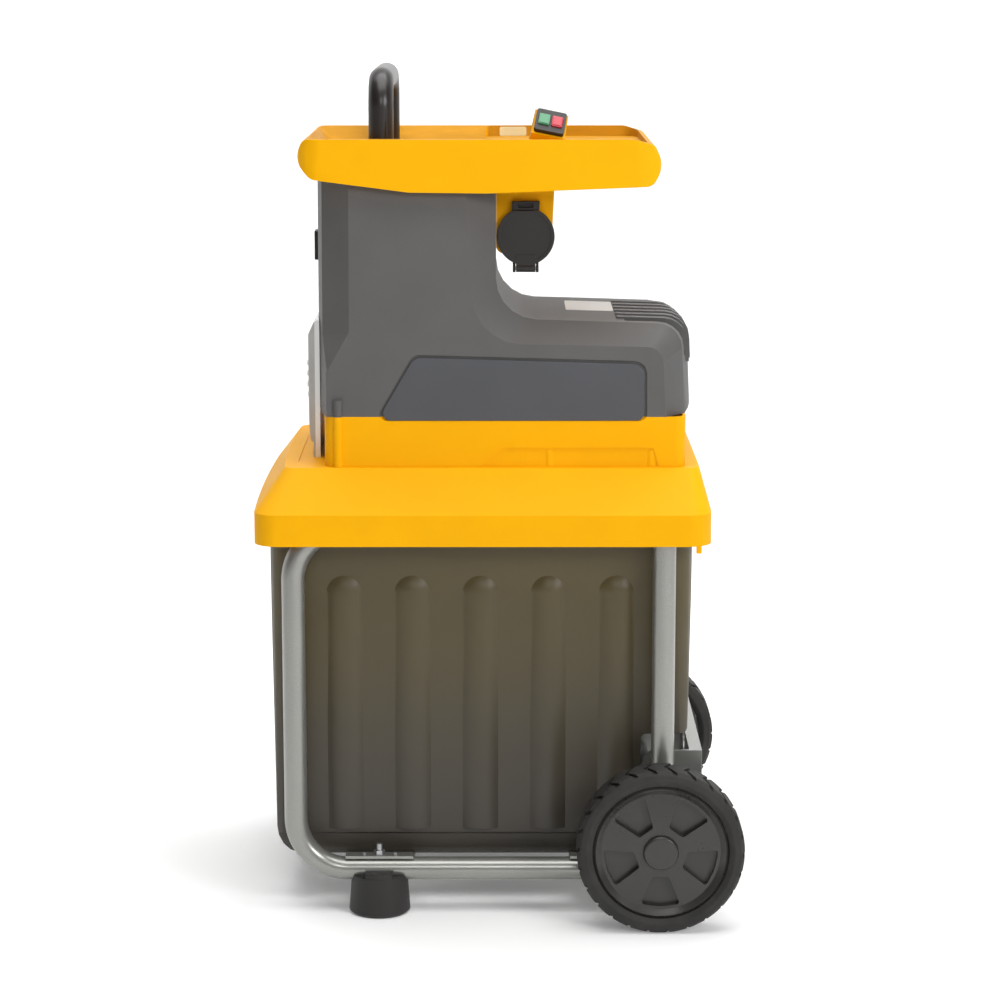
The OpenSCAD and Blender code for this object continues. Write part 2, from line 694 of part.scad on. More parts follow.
// Hopper: a shallow tray with a funnel over the neck and a deck for the switch
tray_profile = [[-tray_front + 18, tray_low + 14.5, 14], [-95, tray_low + 1, 40], [-10, tray_low, 60],
    [tray_rear - 12.5, tray_low + 7, 12], [tray_rear, tray_low + 28, 25],
    [tray_rear - 10.5, rim_z - 6.5, 8], [tray_rear - 32.5, rim_z, 20],
    [-tray_front + 10, rim_z, 9], [-tray_front, tray_low + 34, 22]];
module plan_rect(x0, x1, hw, r) polygon(rounded([[x0, -hw, r], [x1, -hw, r], [x1, hw, r], [x0, hw, r]]));
function funnel_ring(x0, x1, hw, r, z) =
    [for (p = rounded([[x0, -hw, r], [x1, -hw, r], [x1, hw, r], [x0, hw, r]])) [p[0], p[1], z]];
module funnel(g) loft([
    funnel_ring(throat_x - throat_l / 2 - g, throat_x + throat_l / 2 + g, throat_w / 2 + g, 6 + g,
        funnel_low),
    funnel_ring(-well_front - g, well_rear + g, well_hw + g, 24 + g, rim_z + 1)]);
module throat(g, z0, z1) translate([throat_x, 0, z0]) linear_extrude(z1 - z0)
    plan_rect(-throat_l / 2 - g, throat_l / 2 + g, throat_w / 2 + g, 6 + g);
module on_switch() translate(switch_c) rotate([0, switch_roll, 0]) rotate([switch_tilt, 0, 0]) children();
module switch_well(g, z0, z1) translate([0, 0, z0]) linear_extrude(z1 - z0)
    plan_rect(-switch_w / 2 + 2 - g, switch_w / 2 - 2 + g, switch_l / 2 - 2 + g, 2);
module handle_leg(r, z0, z1) for (s = [-1, 1]) translate([handle_x, s * handle_y, z0])
    cylinder(r = r, h = z1 - z0);
module feed_hopper() color(yellow) difference() {
    union() {
        difference() {
            intersection() {
                along_y(-tray_hw, tray_hw) polygon(rounded(tray_profile));
                translate([0, 0, tray_low - 1]) linear_extrude(tray_h + 2)
                    plan_rect(-tray_front, tray_rear, tray_hw, tray_corner);
            }
            funnel(0);
            translate([0, 0, tray_floor_z]) linear_extrude(tray_h)
                plan_rect(-14, tray_rear - 18, tray_hw - tray_wall, 20);
            difference() {
                block([-neck_front - face_bow - 1.5, -neck_pocket_hw, tray_low - 1],
                    [neck_rear + 1.5, neck_pocket_hw, neck_top + slide_gap]);
                funnel(collar_wall);
                throat(collar_wall, tray_low - 2, funnel_low + 8);
            }
            block([neck_rear - 1, -tray_hw + 8, tray_low - 1],
                [tray_rear - 20, tray_hw - 8, tray_floor_z - wall]);
        }
        throat(collar_wall, chute_top + slide_gap, funnel_low + 2);
        intersection() {
            handle_leg(handle_d / 2 + 4, neck_top + 4, socket_z + 15);
            along_y(-tray_hw, tray_hw) polygon(rounded(tray_profile));
        }
        intersection() {
            on_switch() block([-switch_w / 2 - 2, -switch_l / 2 - 2, -40],
                [switch_w / 2 + 2, switch_l / 2 + 2, -slide_gap]);
            block([0, -tray_hw + tray_wall, tray_floor_z - 1], [120, 20, rim_z + 40]);
        }
    }
    throat(0, tray_low - 10, funnel_low + 3);
    handle_leg(handle_d / 2 + run_gap, socket_z, rim_z);
    on_switch() switch_well(slide_gap, -13, 1);
}
module feed_chute() color(black) difference() {
    union() {
        throat(chute_wall, cutter_top, chute_top);
        throat(chute_wall + 6, cutter_top, cutter_top + 4);
    }
    throat(0, cutter_top - 1, chute_top + 1);
}

// Carrying handle: a round bow across the tray
module carry_handle() color(black) {
    r = handle_d / 2;
    bar_z = rim_z + handle_h - r;
    handle_leg(r, socket_z, bar_z - handle_bend);
    for (s = [-1, 1]) translate([handle_x, s * (handle_y - handle_bend), bar_z - handle_bend])
        rotate([0, 0, s > 0 ? 90 : -90]) rotate([90, 0, 0])
            rotate_extrude(angle = 90) translate([handle_bend, 0]) circle(r);
    rod_y(-handle_y + handle_bend, handle_y - handle_bend, handle_x, bar_z, r);
}

// Push buttons
button_x = button_w / 2 + 1.2;
module button_hole(x, g, z0, z1) translate([x, 0, z0]) linear_extrude(z1 - z0)
    plan_rect(-button_w / 2 - g, button_w / 2 + g, button_l / 2 + g, 1.5);
module switch_bezel() color(black) on_switch() difference() {
    union() {
        linear_extrude(bezel_t) plan_rect(-switch_w / 2, switch_w / 2, switch_l / 2, 3);
        switch_well(0, -12, 1);
    }
    for (x = [-button_x, button_x]) button_hole(x, slide_gap, -10, bezel_t + 1);
}
module push_button(x) on_switch() {
    button_hole(x, 0, -10 + button_travel + 1, bezel_t + 1.5);
    translate([x, 0, bezel_t + 1.5]) linear_extrude(0.8)
        plan_rect(-button_w / 2 + 1.2, button_w / 2 - 1.2, button_l / 2 - 1.2, 1);
}
module start_button() color([0.3, 0.62, 0.42]) push_button(-button_x);
module stop_button() color([0.84, 0.25, 0.28]) push_button(button_x);

// Mains inlet under the tray
module inlet_bracket() color(yellow) difference() {
    top = tray_floor_z - wall - slide_gap;
    left = neck_rear + slide_gap;
    right = inlet_x + 33;
    outline = [[left, inlet_z - 18, 8], [inlet_x + 14, inlet_z - 25, 12], [right - 4, inlet_z + 4, 14],
        [right, top, 1], [left, top, 1]];
    inner = [[left + wall, inlet_z - 15, 6], [inlet_x + 12, inlet_z - 21, 10],
        [right - 4 - wall, inlet_z + 4, 12], [right - wall, top + 1, 1], [left + wall, top + 1, 1]];
    along_y(inlet_face, inlet_face + 56) polygon(rounded(outline));
    along_y(inlet_face + wall, inlet_face + 56 - wall) polygon(rounded(inner));
    rod_y(inlet_face - 1, inlet_face + 10, inlet_x, inlet_z, socket_r + slide_gap);
}
module inlet_socket() color(black) difference() {
    union() {
        rod_y(inlet_face - flange_t, inlet_face, inlet_x, inlet_z, flap_r - 1.5);
        rod_y(inlet_face - flange_t, inlet_face + 40, inlet_x, inlet_z, socket_r);
        block([inlet_x - 15, inlet_face - flange_t - 2, inlet_z + 28.3],
            [inlet_x + 15, inlet_face, inlet_z + 38]);
        block([inlet_x - 13, inlet_face - flange_t, inlet_z + 20],
            [inlet_x + 13, inlet_face, inlet_z + 30]);
        for (s = [-1, 1]) translate([inlet_x + s * ear_x, 0, 0]) {
            rod_x(-ear_t / 2, ear_t / 2, flap_axis_y, flap_axis_z, 4.2);
            block([-ear_t / 2, inlet_face - flange_t, flap_axis_z - 4.2],
                [ear_t / 2, inlet_face, inlet_z - 22]);
            block([-ear_t / 2, flap_axis_y, flap_axis_z - 4.2],
                [ear_t / 2, inlet_face, flap_axis_z + 4.2]);
        }
    }
    rod_y(inlet_face - 10, inlet_face + 30, inlet_x, inlet_z, socket_r - 4);
    block([inlet_x - 8, inlet_face - 10, inlet_z + 31], [inlet_x + 8, inlet_face - 3, inlet_z + 35.5]);
    rod_x(inlet_x - 30, inlet_x + 30, flap_axis_y, flap_axis_z, flap_pin_r);
}
module inlet_pins() color(steel) for (a = [90, 210, 330])
    translate([inlet_x + 9 * cos(a), 0, inlet_z + 9 * sin(a)])
        along_y(inlet_face + 8, inlet_face + 30) plan_rect(-2.4, 2.4, 1.2, 0.6);
module inlet_flap() color(black) difference() {
    union() {
        difference() {
            rod_y(flap_y - flap_t, flap_y, inlet_x, inlet_z, flap_r);
            block([inlet_x - 40, flap_y - 10, inlet_z + 28], [inlet_x + 40, flap_y + 10, inlet_z + 40]);
            rod_y(flap_y - flap_t - 1, flap_y - flap_t + 0.6, inlet_x, inlet_z, flap_r - 4);
        }
        block([inlet_x - knuckle_hw, flap_y - flap_t, flap_axis_z],
            [inlet_x + knuckle_hw, flap_y, inlet_z - 20]);
        rod_x(inlet_x - knuckle_hw, inlet_x + knuckle_hw, flap_axis_y, flap_axis_z, 4);
    }
    rod_x(inlet_x - 30, inlet_x + 30, flap_axis_y, flap_axis_z, flap_pin_r + run_gap);
}
module flap_pin() color(steel)
    rod_x(inlet_x - ear_x - ear_t / 2, inlet_x + ear_x + ear_t / 2, flap_axis_y, flap_axis_z, flap_pin_r);

// Box lock: a bowed slide on the front of the neck, whose tongue drops into the box
function front_x(y) = -neck_front - face_bow * (1 - pow(y / crown_y, 2));
function front_band(g0, g1, hw) = concat(
    [for (k = [-6:6]) let (y = hw * k / 6) [front_x(y) - g0, y]],
    [for (k = [6:-1:-6]) let (y = hw * k / 6) [front_x(y) - g1, y]]);
module lock_band(g0, g1, hw, z0, z1) translate([0, 0, z0]) linear_extrude(z1 - z0)
    polygon(front_band(g0, g1, hw));
module box_lock() color(silver) {
    face = front_x(0) - slide_gap;
    lock_band(slide_gap, slide_gap + lock_t, lock_hw, deck_z - 16, lock_top - 60);
    lock_band(slide_gap, slide_gap + lock_t, tongue_hw, lock_low, deck_z - 10);
    intersection() {
        lock_band(slide_gap, slide_gap + lock_t + 5, lock_hw, deck_z + lock_travel + 3, lock_top);
        along_y(-lock_hw, lock_hw) polygon(rounded([[face + 40, deck_z + lock_travel + 3, 1],
            [face + 40, lock_top, 1], [face - 1, lock_top, 6], [face - lock_t - 4, lock_top - 22, 30],
            [face - lock_t - 4.5, deck_z + 70, 60], [face - lock_t + 1, deck_z + lock_travel + 3, 4]]));
    }
}

// Direction switch on the front of the neck
module rocker_window(g, x0, x1) along_x(x0, x1) translate([0, rocker_z])
    plan_rect(-rocker_hw - g, rocker_hw + g, rocker_h / 2 + g, 1.5);
module direction_bezel() color(black) difference() {
    union() {
        rocker_window(5, rocker_face - 4, rocker_face - slide_gap);
        rocker_window(2, rocker_face - slide_gap, rocker_face + 16);
    }
    rocker_window(slide_gap, rocker_face - 5, rocker_face + 13);
    rod_y(-rocker_hw - 1.5, rocker_hw + 1.5, rocker_face + 5, rocker_z, rocker_pin_r + run_gap);
}
module direction_rocker() color(black) {
    h = rocker_h / 2;
    along_y(-rocker_hw, rocker_hw) translate([rocker_face, rocker_z]) polygon([[-1.5, -h + 1.2],
        [8, -6], [8, 6], [-1.5, h - 1.2], [-4.4, h - 2], [-2.6, 0], [-4.4, -h + 2]]);
    rod_y(-rocker_hw - 1.4, rocker_hw + 1.4, rocker_face + 5, rocker_z, rocker_pin_r);
}

// Collection box: drafted, ribbed, open at the top and notched over the axle bracket
module box_profile(d) polygon(rounded([[-box_front + box_draft + d, box_low + d, 35 - d],
    [notch_x - d, box_low + d, 6], [notch_x - d, notch_z + d, 6], [box_rear - 4 - d, notch_z + d, 6],
    [box_rear - d, box_top + d, 0.2], [-box_front + d, box_top + d, 0.2]]));
module box_section(d) {
    foot_hw = box_hw - box_draft - 4 - d;
    side_hw = box_hw - box_draft - d;
    polygon(rounded([[-foot_hw, box_low + d, 12 - d], [foot_hw, box_low + d, 12 - d],
        [foot_hw, box_low + 26, 1.5], [side_hw, box_low + 28, 1.5], [box_hw - d, box_top + d, 0.2],
        [-box_hw + d, box_top + d, 0.2], [-side_hw, box_low + 28, 1.5], [-foot_hw, box_low + 26, 1.5]]));
}
module box_ribs(d) {
    draft_angle = atan(box_draft / (box_top - box_low));
    mid = (box_low + box_top) / 2;
    for (s = [-1, 1]) on_side(s) for (k = [-2:2])
        translate([rib_mid_x + k * rib_step, -box_hw + box_draft * 0.5 + rib_r - rib_out, mid])
            rotate([draft_angle, 0, 0]) translate([0, 0, -mid]) {
                translate([0, 0, rib_low + d]) cylinder(r = rib_r - d, h = rib_top - rib_low - d);
                translate([0, 0, rib_top]) sphere(r = rib_r - d);
            }
}
module box_form(d) {
    intersection() {
        along_y(-300, 300) box_profile(d);
        along_x(-300, 300) box_section(d);
        translate([0, 0, box_low]) linear_extrude(box_top + 10)
            plan_rect(-box_front + d, box_rear - d, box_hw - d, 26 - d);
    }
    intersection() {
        box_ribs(d);
        block([-box_front, -box_hw - rib_out - 2, box_low + 10],
            [notch_x - 3, box_hw + rib_out + 2, box_top]);
    }
}
module collection_box() color(smoke) {
    difference() {
        box_form(0);
        box_form(box_wall);
        grip_recess(0);
    }
    difference() {
        intersection() {
            grip_recess(box_wall);
            box_form(box_wall / 2);
        }
        grip_recess(0);
    }
    difference() {
        block([-box_front + box_wall / 2, -60, box_top - shelf_t], [front_x(0) + 18, 60, box_top]);
        block([front_x(0) - lock_t - 2.5, -tongue_hw - 3, box_top - shelf_t - 1],
            [front_x(0) + 3, tongue_hw + 3, box_top + 1]);
    }
}
module grip_recess(g) block([-box_front - 1, -55 - g, box_top - 80 - g],
    [-box_front + 17 + g, 55 + g, box_top - 40 + g]);

// Cutter: a cast box with a toothed roller and a pressure plate set by a screw
module cutter_housing() color(cast) difference() {
    union() {
        block([cutter_front, cutter_left, deck_z], [cutter_rear, cutter_right, cutter_top]);
        rod_y(cutter_right - 1, cutter_right + 6, adjust_x, adjust_z, 14);
    }
    difference() {
        block([cutter_front + cutter_wall, cutter_left + 6, deck_z - 1],
            [cutter_rear - cutter_wall, cutter_right - 8, cutter_top + 1]);
        block([cutter_front, plate_back + 4, plate_low - 8],
            [cutter_rear, cutter_right, plate_low - slide_gap]);
    }
    rod_x(cutter_front - 1, cutter_rear + 1, roller_y, roller_z, roller_bearing_r);
    rod_y(0, cutter_right + 20, adjust_x, adjust_z, spindle_r + run_gap);
}
function roller_star(phase) =
    let (p = 360 / roller_teeth)
    [for (k = [0:roller_teeth - 1]) let (a = phase + k * p)
        each [for (t = [[0, roller_r - 8], [-0.04, roller_r], [0.1, roller_r], [0.3, roller_r - 3.2],
            [0.55, roller_r - 6.2], [0.8, roller_r - 7.7]]) t[1] * [cos(a + t[0] * p), sin(a + t[0] * p)]]];
module cutter_roller() color(steel) translate([0, roller_y, roller_z]) difference() {
    union() {
        rod_x(roller_x - roller_l / 2, roller_x + roller_l / 2, 0, 0, roller_r - 8.5);
        for (k = [0:rows - 1]) translate([roller_x - roller_l / 2 + k * roller_l / rows, 0, 0])
            along_x(0, roller_l / rows) polygon(roller_star(k * 360 / roller_teeth / rows));
    }
    rod_x(roller_x - roller_l, roller_x + roller_l, 0, 0, roller_shaft_r);
}
module roller_shaft() color(steel)
    rod_x(cutter_front - 3, slow_x + slow_w + 2, roller_y, roller_z, roller_shaft_r);
// Bearing ring lying along X, with the face recess between its races
module bearing(x, y, z, w, r_in, r_out) translate([x, y, z]) rotate([0, 90, 0]) rotate_extrude() {
    a = r_in + (r_out - r_in) * 0.3;
    b = r_in + (r_out - r_in) * 0.7;
    polygon([[r_in, 0], [a, 0], [a, 0.6], [b, 0.6], [b, 0], [r_out, 0], [r_out, w], [b, w], [b, w - 0.6],
        [a, w - 0.6], [a, w], [r_in, w]]);
}
module roller_bearings() color(steel) for (x = [cutter_front, cutter_rear - cutter_wall])
    bearing(x, roller_y, roller_z, cutter_wall, roller_shaft_r + run_gap, roller_bearing_r - 0.02);
module pressure_plate() color(cast) difference() {
    block([plate_x0, roller_y + 30, plate_low], [plate_x0 + plate_len, plate_back, plate_low + 58]);
    rod_x(plate_x0 - 1, plate_x0 + plate_len + 1, roller_y, roller_z, roller_r + plate_gap);
    rod_y(plate_back - 12, plate_back + 1, adjust_x, adjust_z, spindle_r + run_gap);
}
module adjuster_spindle() color(steel) {
    rod_y(plate_back - 10, knob_y + 16, adjust_x, adjust_z, spindle_r);
    rod_y(cutter_right + 6 + slide_gap, cutter_right + 11, adjust_x, adjust_z, spindle_r + 4);
}
module adjuster_knob() color(black) difference() {
    union() {
        rod_y(knob_y, knob_y + 6, adjust_x, adjust_z, knob_r);
        rod_y(knob_y, knob_y + knob_l, adjust_x, adjust_z, knob_r - 2);
    }
    for (a = [0:36:359]) translate([adjust_x + knob_r * cos(a), 0, adjust_z + knob_r * sin(a)])
        rod_y(knob_y + 6, knob_y + knob_l + 1, 0, 0, 4);
    rod_y(knob_y - 1, knob_y + 16, adjust_x, adjust_z, spindle_r);
}

// Gears: involute teeth with some backlash, drawn in the plane across the shafts
pressure_angle = 25;
tooth_top = 0.85;
tooth_root = 1.15;
function involute(rb, r) = let (a = acos(min(1, rb / r))) tan(a) * 180 / PI - a;
function gear_outline(m, z, phase) =
    let (
        rp = m * z / 2,
        rb = rp * cos(pressure_angle),
        ra = rp + tooth_top * m,
        rr = rp - tooth_root * m,
        r0 = max(rb, rr),
        half = 90 / z - 0.1 * m / rp * 180 / PI + involute(rb, rp),
        radii = [for (k = [0:3]) r0 + (ra - r0) * k / 3]
    )
    [for (t = [0:z - 1]) let (c = phase + 360 * t / z) each concat(
        rr < rb ? [rr * [cos(c - half), sin(c - half)]] : [],
        [for (r = radii) let (h = half - involute(rb, r)) r * [cos(c - h), sin(c - h)]],
        [for (k = [3:-1:0]) let (r = radii[k], h = half - involute(rb, r)) r * [cos(c + h), sin(c + h)]],
        rr < rb ? [rr * [cos(c + half), sin(c + half)]] : [])];
module output_gear() color(steel) along_x(slow_x, slow_x + slow_w) translate([roller_y, roller_z])
    difference() {
        polygon(gear_outline(slow_module, slow_teeth, lay_angle));
        circle(roller_shaft_r);
        for (a = [0:60:359]) rotate(a) translate([slow_module * slow_teeth * 0.31, 0]) circle(10);
    }
module layshaft_gear() color(steel) {
    rod_x(cutter_rear + 0.5, motor_x - 0.5, lay_y, lay_z, lay_shaft_r);
    along_x(slow_x - 0.5, slow_x + slow_w + 2) translate([lay_y, lay_z])
        polygon(gear_outline(slow_module, pinion_teeth, lay_angle + 180 + 180 / pinion_teeth));
    along_x(fast_x, fast_x + fast_w) translate([lay_y, lay_z]) difference() {
        polygon(gear_outline(fast_module, fast_teeth, motor_angle));
        for (a = [0:60:359]) rotate(a) translate([fast_module * fast_teeth * 0.32, 0]) circle(8);
    }
}
module motor_pinion() color(steel) along_x(fast_x - 1, fast_x + fast_w + 1) translate([motor_y, motor_z])
    polygon(gear_outline(fast_module, pinion_teeth, motor_angle + 180 + 180 / pinion_teeth));
module case_outline(d) hull() {
    translate([roller_y, roller_z]) circle(slow_module * slow_teeth / 2 + 8 - d, $fn = 48);
    translate([lay_y, lay_z]) circle(fast_module * fast_teeth / 2 + 8 - d, $fn = 48);
}
module gearbox_case() color(cast) difference() {
    along_x(cutter_rear, case_end) case_outline(0);
    along_x(cutter_rear + case_wall, case_end + 1) case_outline(case_wall);
    rod_x(cutter_rear - 1, case_end, roller_y, roller_z, roller_shaft_r + 1);
    rod_x(cutter_rear - 1, case_end, lay_y, lay_z, lay_bearing_r);
}
module gearbox_cover() color(cast) difference() {
    along_x(case_end, motor_x) case_outline(0);
    rod_x(case_end - 1, motor_x + 1, motor_y, motor_z, motor_bearing_r);
    rod_x(case_end - 1, motor_x + 1, lay_y, lay_z, lay_bearing_r);
}
module layshaft_bearings() color(steel) {
    bearing(cutter_rear, lay_y, lay_z, case_wall, lay_shaft_r + run_gap, lay_bearing_r - 0.02);
    bearing(case_end, lay_y, lay_z, cover_t, lay_shaft_r + run_gap, lay_bearing_r - 0.02);
}

// Motor
module ring_x(x0, x1, r_in, r_out) along_x(x0, x1) translate([motor_y, motor_z]) difference() {
    circle(r_out);
    circle(r_in);
}
case_in = motor_r - 2.5;
core_x0 = motor_x + 28;
core_x1 = motor_end - 32;
module motor_case() color(shell_grey) along_x(motor_x, motor_end) translate([motor_y, motor_z])
    difference() {
        union() {
            circle(motor_r);
            for (a = [45:90:359]) rotate(a) translate([motor_r - 2, -4]) square([4.5, 8]);
        }
        circle(case_in);
    }
module stator_core() color(steel) along_x(core_x0, core_x1) translate([motor_y, motor_z]) difference() {
    circle(case_in - 0.02);
    circle(rotor_r + 0.6);
    for (a = [0:20:359]) rotate(a) translate([rotor_r + 2.6, -2]) square([case_in - rotor_r - 9, 4]);
}
module stator_windings() color(copper) for (x = [core_x0 - 14, core_x1]) translate([x, motor_y, motor_z])
    rotate([0, 90, 0]) rotate_extrude() translate([(rotor_r + case_in) / 2 - 0.5, 7])
        polygon(rounded([[-6, -7, 4], [6, -7, 4], [6, 7, 4], [-6, 7, 4]]));
module motor_end_bell() color(cast) along_x(motor_end, motor_end + cover_t) translate([motor_y, motor_z])
    difference() {
        circle(motor_r);
        circle(motor_bearing_r);
        for (a = [0:45:359]) rotate(a) polygon(rounded([[20, -4, 2], [40, -9, 2], [40, 9, 2], [20, 4, 2]]));
    }
module rotor() color(steel) {
    rod_x(core_x0, core_x1, motor_y, motor_z, rotor_r);
    for (x = [core_x0 - 6, core_x1]) ring_x(x, x + 6, motor_shaft_r - 1, rotor_r - 3);
    rod_x(fast_x + fast_w + 1, motor_end + 24, motor_y, motor_z, motor_shaft_r);
}
module motor_bearings() color(steel) for (x = [case_end, motor_end])
    bearing(x, motor_y, motor_z, cover_t, motor_shaft_r + run_gap, motor_bearing_r - 0.02);
module cooling_fan() color(black) translate([motor_end + 10, motor_y, motor_z]) difference() {
    union() {
        rod_x(0, 14, 0, 0, motor_shaft_r + 4);
        rod_x(0, 2, 0, 0, motor_r - 8);
        for (a = [0:40:359]) rotate([a, 0, 0]) block([0, 6, -1], [14, motor_r - 8, 1]);
    }
    rod_x(-1, 15, 0, 0, motor_shaft_r);
}
module run_capacitor() color(black) {
    rod_x(60, 126, -105, deck_z + 20 + slide_gap, 20);
    rod_x(126, 130, -105, deck_z + 20 + slide_gap, 12);
    for (y = [-109, -101]) block([130, y - 0.5, deck_z + 16], [138, y + 0.5, deck_z + 24]);
}

left_frame_tube();
right_frame_tube();
front_cross_plate();
rear_cross_plate();
axle_bracket();
bracket_bolts();
axle();
axle_spacers();
axle_clips();
left_foot();
right_foot();
foot_bolts();
left_tyre();
right_tyre();
left_wheel_disc();
right_wheel_disc();
left_hub_cap();
right_hub_cap();
base_housing();
left_housing_shell();
right_housing_shell();
left_side_panel();
right_side_panel();
housing_screws();
feed_hopper();
feed_chute();
carry_handle();
switch_bezel();
start_button();
stop_button();
inlet_bracket();
inlet_socket();
inlet_pins();
inlet_flap();
flap_pin();
box_lock();
direction_bezel();
direction_rocker();
collection_box();
cutter_housing();
cutter_roller();
roller_shaft();
roller_bearings();
pressure_plate();
adjuster_spindle();
adjuster_knob();
gearbox_case();
gearbox_cover();
output_gear();
layshaft_gear();
layshaft_bearings();
motor_pinion();
motor_case();
stator_core();
stator_windings();
motor_end_bell();
rotor();
motor_bearings();
cooling_fan();
run_capacitor();
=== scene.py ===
"""Looks of the garden shredder: yellow tray and base, grey housing, smoked box, tube frame on two wheels."""

import json
import math

import bmesh
import bpy
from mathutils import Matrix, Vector
from mathutils.bvhtree import BVHTree


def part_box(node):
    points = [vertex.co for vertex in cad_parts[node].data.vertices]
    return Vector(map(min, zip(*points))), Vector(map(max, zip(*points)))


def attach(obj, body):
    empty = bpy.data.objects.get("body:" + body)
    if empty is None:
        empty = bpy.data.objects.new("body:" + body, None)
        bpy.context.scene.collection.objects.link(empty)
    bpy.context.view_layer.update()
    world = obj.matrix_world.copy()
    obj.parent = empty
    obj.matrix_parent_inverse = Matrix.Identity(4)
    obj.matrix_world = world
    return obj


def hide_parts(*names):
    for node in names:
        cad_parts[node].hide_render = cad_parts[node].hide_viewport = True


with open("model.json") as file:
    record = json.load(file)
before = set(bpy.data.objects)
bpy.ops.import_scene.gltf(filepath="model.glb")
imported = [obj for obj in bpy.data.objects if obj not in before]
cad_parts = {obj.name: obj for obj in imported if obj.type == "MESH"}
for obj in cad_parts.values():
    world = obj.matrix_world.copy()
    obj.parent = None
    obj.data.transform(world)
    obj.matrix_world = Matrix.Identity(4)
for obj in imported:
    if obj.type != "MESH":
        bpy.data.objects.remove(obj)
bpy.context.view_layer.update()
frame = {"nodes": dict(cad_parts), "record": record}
nodes = frame["nodes"]
MM = 0.001


# Shader maths: a Field is a socket, and arithmetic on it adds Math nodes to its finish

class Field:
    def __init__(self, finish, socket):
        self.finish = finish
        self.socket = socket

    def _with(self, operation, a, b):
        return self.finish.node("ShaderNodeMath", {"operation": operation}, {0: a, 1: b})

    def __add__(self, other):
        return self._with("ADD", self, other)

    def __radd__(self, other):
        return self._with("ADD", other, self)

    def __sub__(self, other):
        return self._with("SUBTRACT", self, other)

    def __rsub__(self, other):
        return self._with("SUBTRACT", other, self)

    def __mul__(self, other):
        return self._with("MULTIPLY", self, other)

    def __rmul__(self, other):
        return self._with("MULTIPLY", other, self)

    def between(self, low, high):
        """0 below low, 1 above high and smooth between."""
        return self.finish.node("ShaderNodeMapRange", {"interpolation_type": "SMOOTHSTEP", "clamp": True},
                                {"Value": self, "From Min": low, "From Max": high})


class Finish:
    """One material. node() makes any node; coat() feeds the shader."""

    def __init__(self, name):
        self.material = bpy.data.materials.new(name)
        self.material.use_nodes = True
        self.tree = self.material.node_tree
        self.shader = self.tree.nodes["Principled BSDF"]
        self.place = self.node("ShaderNodeTexCoord", out="Object")

    def node(self, kind, settings=None, sockets=None, out=0):
        made = self.tree.nodes.new(kind)
        for key, value in (settings or {}).items():
            setattr(made, key, value)
        for key, value in (sockets or {}).items():
            self.set(made.inputs[key], value)
        return Field(self, made.outputs[out])

    def set(self, socket, value):
        if isinstance(value, Field):
            self.tree.links.new(value.socket, socket)
        elif isinstance(value, tuple) and len(value) == 3 and socket.type == "RGBA":
            socket.default_value = (*value, 1)
        else:
            socket.default_value = value

    def noise(self, scale, detail=3, roughness=0.55, stretch=None):
        place = self.place
        if stretch:
            place = self.node("ShaderNodeVectorMath", {"operation": "MULTIPLY"}, {0: place, 1: stretch})
        return self.node("ShaderNodeTexNoise", None,
                         {"Vector": place, "Scale": scale, "Detail": detail, "Roughness": roughness})

    def part(self, vector, letter):
        """One of the three numbers of a vector."""
        return self.node("ShaderNodeSeparateXYZ", None, {0: vector}, out=letter)

    def mix(self, share, a, b):
        return self.node("ShaderNodeMix", {"data_type": "RGBA"}, {"Factor": share, 6: a, 7: b}, out=2)

    def bump(self, height, distance, strength=1.0):
        return self.node("ShaderNodeBump", None,
                         {"Height": height, "Distance": distance, "Strength": strength})

    def coat(self, **sockets):
        for key, value in sockets.items():
            self.set(self.shader.inputs[key.replace("_", " ")], value)
        return self.material


def tint(colour, gain):
    return tuple(min(1.0, c * gain) for c in colour)


def moulded(name, colour, rough, grain, depth, mottle=0.08, shine=0.5):
    """Moulded plastic: a spark-eroded grain, cloudy colour and slightly uneven gloss."""
    f = Finish(name)
    cloud = f.noise(scale=9, detail=4)
    fleck = f.noise(scale=260)
    skin = f.noise(scale=grain, detail=2, roughness=0.5)
    shade = f.mix(cloud.between(0.3, 0.7), tint(colour, 1 - mottle), tint(colour, 1 + mottle))
    shade = f.mix(fleck.between(0.45, 0.85) * 0.25, shade, tint(colour, 1 - 2 * mottle))
    return f.coat(Base_Color=shade, Roughness=rough - 0.05 + 0.1 * cloud + 0.06 * fleck,
                  Specular_IOR_Level=shine, Normal=f.bump(skin, depth))


def metal(name, colour, rough, scratch, metallic=1.0):
    """Turned or drawn metal: fine lines along one way and a little staining."""
    f = Finish(name)
    lines = f.noise(scale=40, detail=4, roughness=0.6, stretch=scratch)
    stain = f.noise(scale=22, detail=4)
    shade = f.mix(lines, tint(colour, 0.85), tint(colour, 1.1))
    shade = f.mix(stain.between(0.5, 0.8) * 0.4, shade, tint(colour, 0.7))
    return f.coat(Base_Color=shade, Metallic=metallic, Roughness=rough + 0.12 * lines + 0.08 * stain,
                  Normal=f.bump(lines, 0.04 * MM, strength=0.6))


def lacquered(name, colour, rough):
    """Silver powder coat: metal flakes under a soft satin skin."""
    f = Finish(name)
    flake = f.noise(scale=2600, detail=1)
    cloud = f.noise(scale=7)
    peel = f.noise(scale=420, detail=2)
    shade = f.mix(flake.between(0.42, 0.62), tint(colour, 0.86), tint(colour, 1.16))
    shade = f.mix(cloud.between(0.35, 0.75) * 0.35, shade, tint(colour, 0.84))
    return f.coat(Base_Color=shade, Metallic=0.55 + 0.2 * flake, Roughness=rough + 0.08 * cloud,
                  Coat_Weight=0.25, Coat_Roughness=0.3, Normal=f.bump(peel, 0.05 * MM, strength=0.6))


